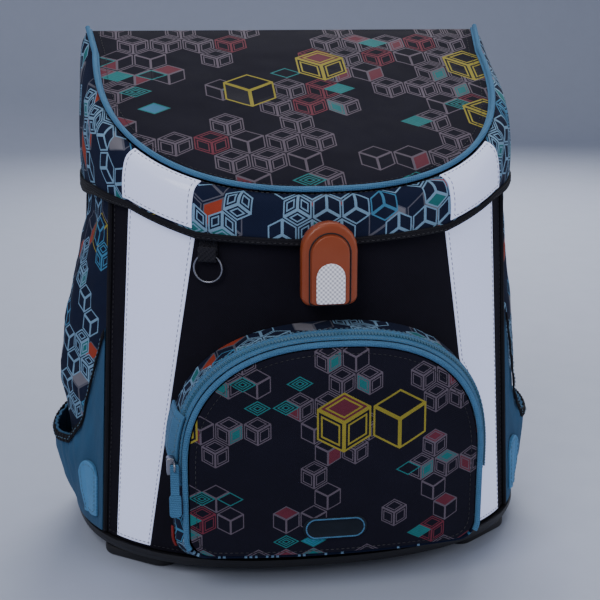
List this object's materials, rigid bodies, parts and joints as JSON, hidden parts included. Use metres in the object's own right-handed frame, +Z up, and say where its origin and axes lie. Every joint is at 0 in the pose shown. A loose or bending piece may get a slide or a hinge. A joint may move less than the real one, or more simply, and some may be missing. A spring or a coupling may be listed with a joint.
{
  "type": "school satchel",
  "caption": "Boxy child's school satchel with a slanting padded lid, push clasp, domed zipped front pocket, side pockets, reflectors and shoulder straps.",
  "frame": {"origin": "middle of the bounding box's underside, on the surface that the feet stand on", "axes": "+Z up, +Y towards the wearer's back and the shoulder straps, +X to the right seen from the front pocket"},
  "size_m": [0.3748, 0.259, 0.3788],
  "materials": {
    "body_cloth": "near-black navy woven polyester",
    "print_cloth": "navy woven polyester with a printed cube pattern",
    "black_trim": "black binding tape, webbing and mesh",
    "sky_cloth": "light blue piping, tape and woven cloth",
    "reflective_film": "silver-grey reflective film",
    "black_plastic": "moulded black plastic",
    "orange_plastic": "moulded orange plastic",
    "steel": "plated steel",
    "red_tag": "red folded tape"
  },
  "bodies": {
    "root": {"front_panel": "body_cloth", "back_panel": "body_cloth", "base_tray": "black_plastic", "key_ring": "steel", "ring_loop": "black_trim", "lid_top": "print_cloth", "lid_band": "print_cloth", "lid_piping": "sky_cloth", "lid_binding": "black_trim", "clasp_catch": "black_plastic", "clasp_body": "orange_plastic", "clasp_tongue": "orange_plastic", "clasp_window": "reflective_film", "pocket_face": "print_cloth", "pocket_gusset": "print_cloth", "pocket_piping": "sky_cloth", "pocket_zip": "sky_cloth", "zip_slider": "steel", "zip_puller": "sky_cloth", "zip_end_tab": "sky_cloth", "pocket_badge": "black_trim", "side_tag": "red_tag", "back_pad": "black_trim", "handle": "black_trim", "side_panel_left": "print_cloth", "side_panel_right": "print_cloth", "body_reflector_left": "reflective_film", "body_reflector_right": "reflective_film", "side_pocket_left": "sky_cloth", "side_pocket_right": "sky_cloth", "pocket_hem_left": "black_trim", "pocket_hem_right": "black_trim", "pocket_pleat_left": "sky_cloth", "pocket_pleat_right": "sky_cloth", "foot_front_left": "black_plastic", "foot_front_right": "black_plastic", "foot_back_left": "black_plastic", "foot_back_right": "black_plastic", "lid_reflector_left": "reflective_film", "lid_reflector_right": "reflective_film", "strap_left": "black_trim", "strap_right": "black_trim", "strap_webbing_left": "black_trim", "strap_webbing_right": "black_trim", "adjuster_left": "black_plastic", "adjuster_right": "black_plastic"}
  },
  "joints": []
}
